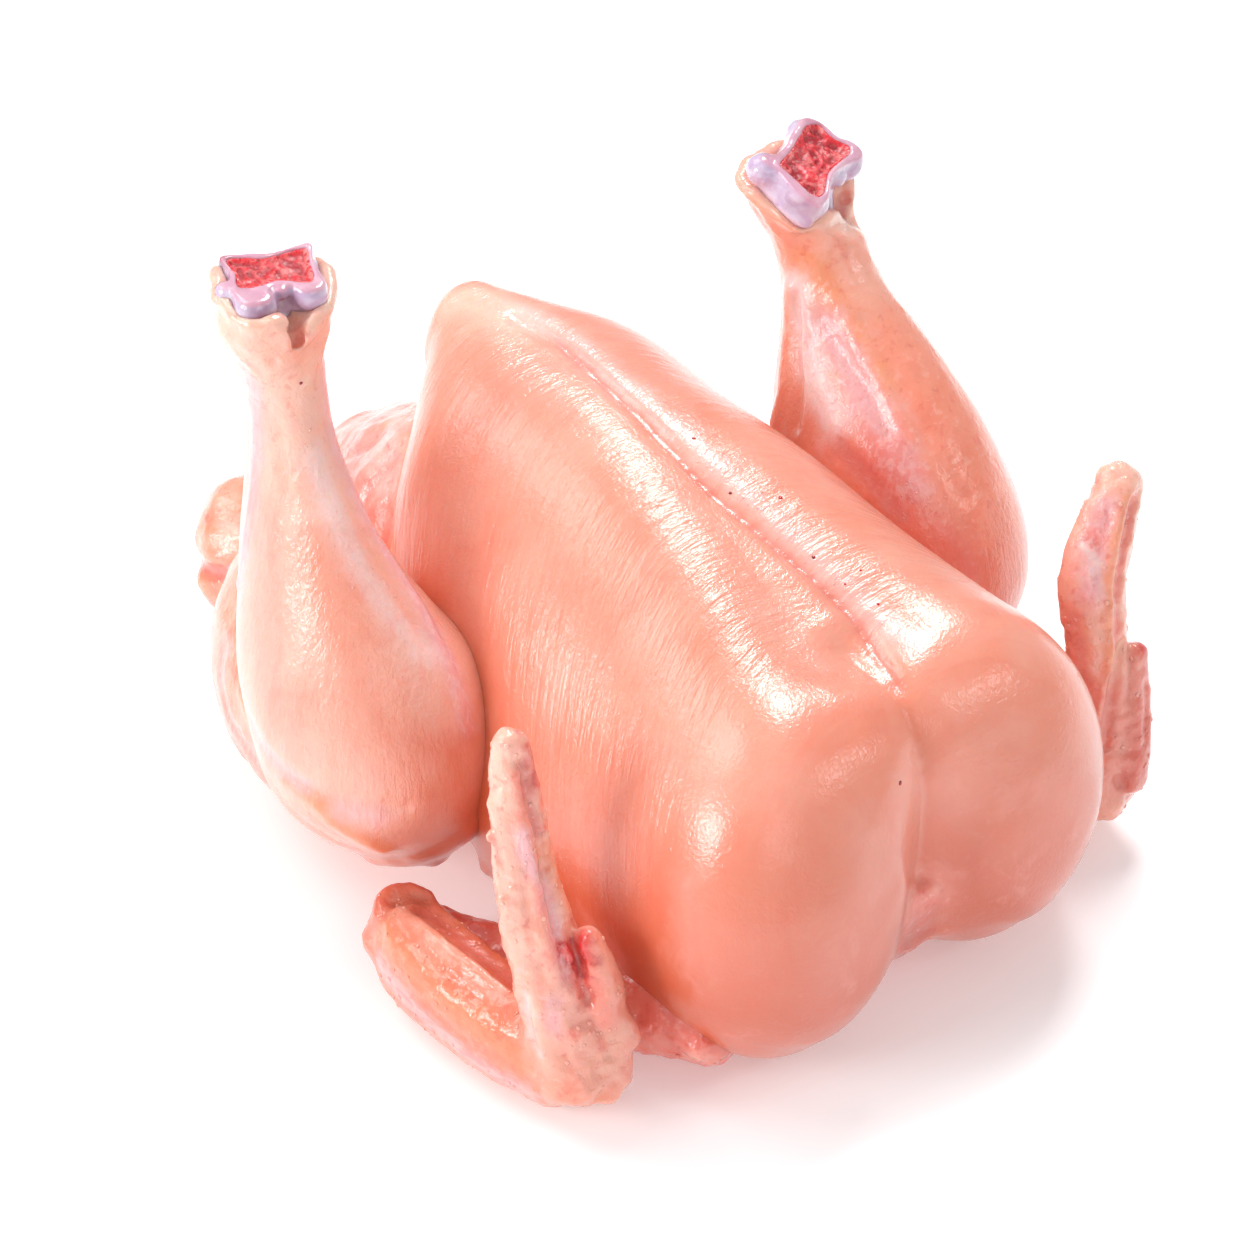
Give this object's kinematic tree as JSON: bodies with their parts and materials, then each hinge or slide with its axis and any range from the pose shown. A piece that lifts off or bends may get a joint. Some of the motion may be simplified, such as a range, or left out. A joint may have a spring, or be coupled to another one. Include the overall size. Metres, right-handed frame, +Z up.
{
  "type": "whole raw chicken",
  "caption": "Whole raw skinless chicken lying on its back, with drumsticks raised, folded wings and cut shank bones.",
  "frame": {"origin": "middle of the bird's bounding box in plan, on the surface it lies on", "axes": "+Z up, away from the resting surface; -Y towards the neck end, +Y towards the tail; -X is the bird's left side"},
  "size_m": [0.1646, 0.2114, 0.1382],
  "materials": {
    "flesh": "moist raw flesh, semi-gloss, slightly translucent",
    "bone": "wet bluish cartilage and bone",
    "marrow": "wet red spongy marrow"
  },
  "bodies": {
    "root": {"chicken_flesh": "flesh", "left_shank_bone": "bone", "left_shank_marrow": "marrow", "right_shank_bone": "bone", "right_shank_marrow": "marrow"}
  },
  "joints": []
}
